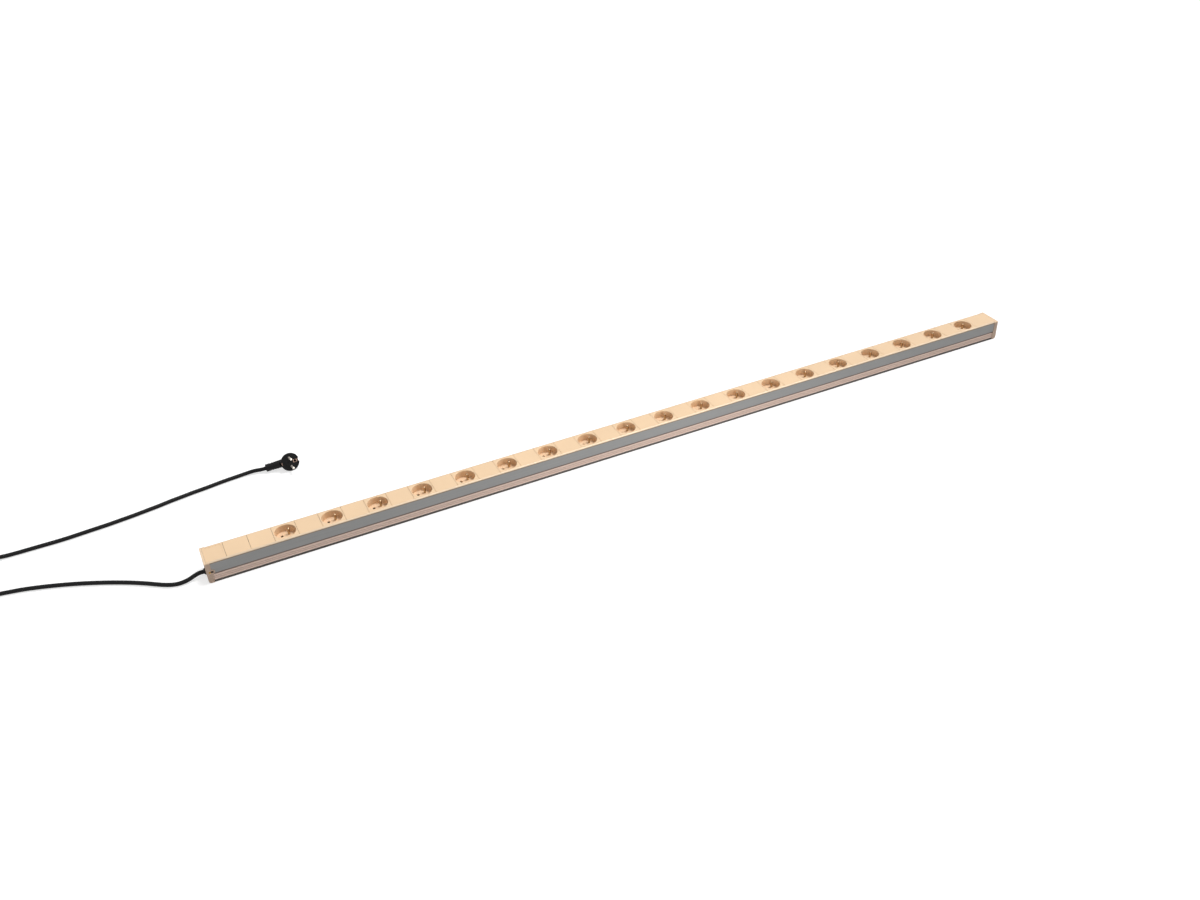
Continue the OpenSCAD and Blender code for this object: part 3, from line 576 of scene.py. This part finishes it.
cord.data.materials.append(mouldedFinish("cordBlack", cordBlack))
tie.data.materials.append(mouldedFinish("tieBlack", tieBlack))
print("finishes made:", len(bpy.data.materials))

# return spring behind each shutter: wound wire that the shutter presses flat as it opens
returnSpring = {
    "outer": 0.003,
    "wire": 0.0005,
    "turns": 6,
    "perTurn": 16,
    "sides": 6,
    "long": 0.0098,
    "start": 0.0073,  # from the middle of the well
}


def windSpring(s):
    wire = s["wire"] / 2
    reach = s["outer"] / 2 - wire
    rise = s["long"] - s["wire"]
    count = s["turns"] * s["perTurn"]
    around = [2 * math.pi * k / s["sides"] for k in range(s["sides"])]
    mesh = bmesh.new()
    rings = []
    for i in range(count + 1):
        turn = 2 * math.pi * i / s["perTurn"]
        out = Vector((0, math.cos(turn), math.sin(turn)))
        middle = reach * out + Vector((wire + rise * i / count, 0, 0))
        ring = []
        for b in around:
            away = math.cos(b) * out + Vector((math.sin(b), 0, 0))
            ring.append(mesh.verts.new(middle + wire * away))
        rings.append(ring)
    for low, high in zip(rings, rings[1:]):
        for k in range(s["sides"]):
            j = (k + 1) % s["sides"]
            mesh.faces.new((low[k], low[j], high[j], high[k]))
    mesh.faces.new(rings[0])
    mesh.faces.new(reversed(rings[-1]))
    bmesh.ops.recalc_face_normals(mesh, faces=mesh.faces)
    for face in mesh.faces:
        face.smooth = True
    data = bpy.data.meshes.new("returnSpring")
    mesh.to_mesh(data)
    mesh.free()
    return data


def fitSprings(s, data):
    for joint in frame["joints"]:
        number = joint["child"][-2:]
        way = Vector(joint["axis"])
        lowest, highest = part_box("socket_" + number)
        bottom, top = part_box(joint["child"])
        well = Vector(((lowest.x + highest.x) / 2, (lowest.y + highest.y) / 2,
                       (bottom.z + top.z) / 2))
        spring = bpy.data.objects.new("returnSpring_" + number, data)
        scene.collection.objects.link(spring)
        spring.matrix_world = (Matrix.Translation(well + way * s["start"])
                               @ way.to_track_quat("X", "Z").to_matrix().to_4x4())
        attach(spring, joint["parent"])
        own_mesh(spring)
        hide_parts("shutter_springs")


wound = windSpring(returnSpring)
wound.materials.append(drawnMetal("springWire", springWire))
fitSprings(returnSpring, wound)

# a small bevel on what has sharp corners in the solids
edgeRound = {
    "widths": {"entry_plate": 0.00015, "blank_inserts": 0.00015, "left_end_cap": 0.0004,
               "right_end_cap": 0.0004, "plug_body": 0.0006, "body_profile": 0.0002},
    "socketWidth": 0.00015,
    "segments": 2,
    "sharperThan": 40,
}


def roundEdges(e, name, width):
    mod = nodes[name].modifiers.new("edgeRound", "BEVEL")
    mod.width = width
    mod.segments = e["segments"]
    mod.limit_method = "ANGLE"
    mod.angle_limit = math.radians(e["sharperThan"])
    mod.harden_normals = False


edgeWidths = {**edgeRound["widths"], **{n: edgeRound["socketWidth"] for n in sockets}}
for name, width in edgeWidths.items():
    roundEdges(edgeRound, name, width)
print("edges rounded:", len(edgeWidths))

# floor and light: pale floor, a soft lamp high over the far end, a low fill in front, white around
studio = {
    "floor": 30.0,
    "floorDrop": 0.0003,  # just under the strip
    "floorTone": 0.5,
    "floorRough": 0.9,
    "floorGlow": 0.68,  # only as the camera and reflections see it
    "zenith": 0.46,
    "horizon": 0.2,
    "lamp": 2.2,
    "lampAngle": 22,
    "lampFrom": (0.80, 0.08, 1.80),
    "fill": 2.5,
    "fillAt": (0.06, -0.75, 0.22),
    "fillTo": (0.06, 0.0, 0.03),
    "fillSize": 0.3,
}


# 1 where the camera, a reflection or a clear piece looks straight at the background
def seenDirectly(tree):
    path = tree.nodes.new("ShaderNodeLightPath")
    total = path.outputs["Is Camera Ray"]
    for ray in ("Is Glossy Ray", "Is Transmission Ray"):
        both = tree.nodes.new("ShaderNodeMath")
        both.operation = "MAXIMUM"
        tree.links.new(total, both.inputs[0])
        tree.links.new(path.outputs[ray], both.inputs[1])
        total = both.outputs["Value"]
    return total


def makeFloor(s):
    half = s["floor"] / 2
    corners = [(-half, -half, 0), (half, -half, 0), (half, half, 0), (-half, half, 0)]
    data = bpy.data.meshes.new("studioFloor")
    data.from_pydata(corners, [], [(0, 1, 2, 3)])
    floor = bpy.data.objects.new("studioFloor", data)
    floor.location.z = -s["floorDrop"]
    scene.collection.objects.link(floor)
    paper, tree, shader = startFinish("paleFloor", {
        "Base Color": (s["floorTone"],) * 3 + (1,),
        "Roughness": s["floorRough"],
        "Specular IOR Level": 0.0,
        "Emission Color": (1, 1, 1, 1),
    })
    glow = tree.nodes.new("ShaderNodeMath")
    glow.operation = "MULTIPLY"
    glow.inputs[1].default_value = s["floorGlow"]
    tree.links.new(seenDirectly(tree), glow.inputs[0])
    tree.links.new(glow.outputs["Value"], shader.inputs["Emission Strength"])
    data.materials.append(paper)


def makeRoom(s):
    world = bpy.data.worlds.new("studioRoom")
    scene.world = world
    world.use_nodes = True
    tree = world.node_tree
    coords = tree.nodes.new("ShaderNodeTexCoord")
    split = tree.nodes.new("ShaderNodeSeparateXYZ")
    tree.links.new(coords.outputs["Generated"], split.inputs["Vector"])
    greys = [(0.0, (s["horizon"],) * 3), (1.0, (s["zenith"],) * 3)]
    sky = ramp(tree, split.outputs["Z"], greys)
    mix = tree.nodes.new("ShaderNodeMix")
    mix.data_type = "RGBA"
    tree.links.new(seenDirectly(tree), mix.inputs["Factor"])
    tree.links.new(sky, mix.inputs["A"])
    mix.inputs["B"].default_value = (1, 1, 1, 1)
    tree.links.new(mix.outputs["Result"], tree.nodes["Background"].inputs["Color"])


# a lamp that stands at one place and shines at another
def standLamp(lamp, at, to):
    stand = bpy.data.objects.new(lamp.name, lamp)
    stand.location = at
    stand.rotation_euler = (Vector(at) - Vector(to)).to_track_quat("Z", "Y").to_euler()
    scene.collection.objects.link(stand)
    return stand


def makeLight(s):
    lamp = bpy.data.lights.new("softLamp", "SUN")
    lamp.energy = s["lamp"]
    lamp.angle = math.radians(s["lampAngle"])
    standLamp(lamp, s["lampFrom"], (0, 0, 0))
    fill = bpy.data.lights.new("lowFill", "AREA")
    fill.energy = s["fill"]
    fill.size = s["fillSize"]
    low = standLamp(fill, s["fillAt"], s["fillTo"])
    low.visible_camera = False
    low.visible_glossy = False  # no bright streak on the inserts from low views


makeFloor(studio)
makeRoom(studio)
makeLight(studio)
scene.view_settings.view_transform = "Standard"
print("studio lit")
